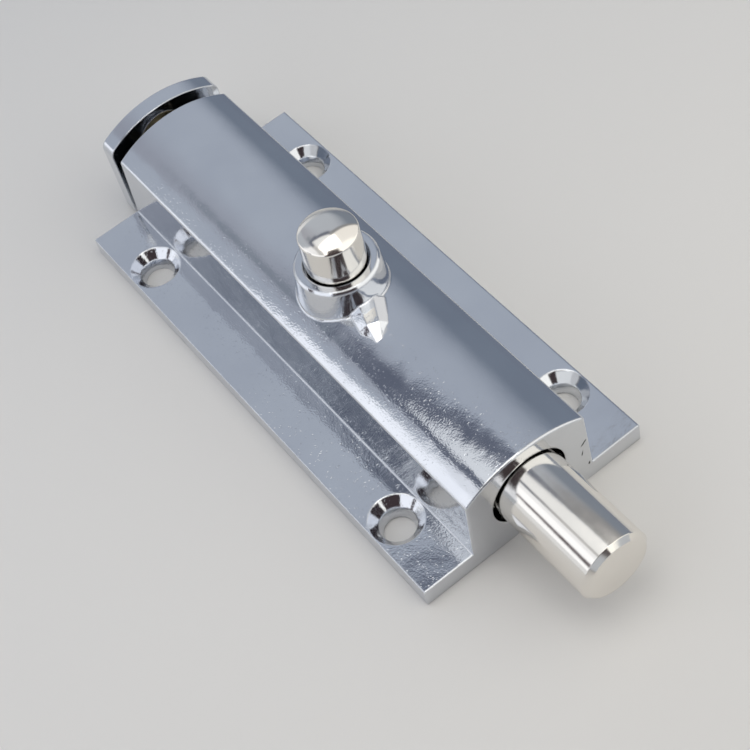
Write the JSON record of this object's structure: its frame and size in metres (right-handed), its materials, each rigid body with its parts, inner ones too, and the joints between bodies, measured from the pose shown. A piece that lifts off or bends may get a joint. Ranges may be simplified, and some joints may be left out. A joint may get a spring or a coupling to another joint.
{
  "type": "push-button door bolt",
  "caption": "Surface door bolt: round bolt pushed out by a rear cap, latched by a sprung push button, in an arched housing on a countersunk mounting plate.",
  "frame": {"origin": "centre of the four mounting holes, on the underside of the mounting plate", "axes": "+X along the bolt towards its nose, +Z out of the mounting plane towards the push button, +Y across the plate"},
  "size_m": [0.1369, 0.048, 0.0373],
  "materials": {
    "chromed_casting": "chrome plated zinc casting with fine pits",
    "nickel_plate": "polished nickel plate",
    "zinc_plated_steel": "zinc plated",
    "spring_steel": "drawn wire",
    "bush_brass": "turned",
    "bright_steel": "turned"
  },
  "bodies": {
    "housing_body": {"housing": "chromed_casting", "back_plate": "zinc_plated_steel", "back_plate_screws": "zinc_plated_steel", "rear_bush": "bush_brass", "front_spring_washer": "zinc_plated_steel", "return_spring": "spring_steel", "button_spring": "spring_steel"},
    "bolt_body": {"bolt": "nickel_plate", "bolt_rod": "bright_steel", "bolt_cross_pin": "bright_steel", "end_cap": "chromed_casting", "end_cap_screw": "zinc_plated_steel", "rear_spring_washer": "zinc_plated_steel", "retaining_clip": "spring_steel"},
    "button_body": {"push_button": "nickel_plate", "button_stem": "bright_steel", "latch_yoke": "bright_steel"}
  },
  "joints": [
    {"name": "bolt_slide", "type": "slide", "parent": "housing_body", "child": "bolt_body", "axis": [1, 0, 0], "range_m": [-0.0205, 0.0022], "deforming": ["return_spring"]},
    {"name": "button_press", "type": "slide", "parent": "housing_body", "child": "button_body", "axis": [0, 0, 1], "range_m": [-0.003, 0], "stiffness_N_per_m": 600, "springref_m": 0.004, "deforming": ["button_spring"]}
  ]
}
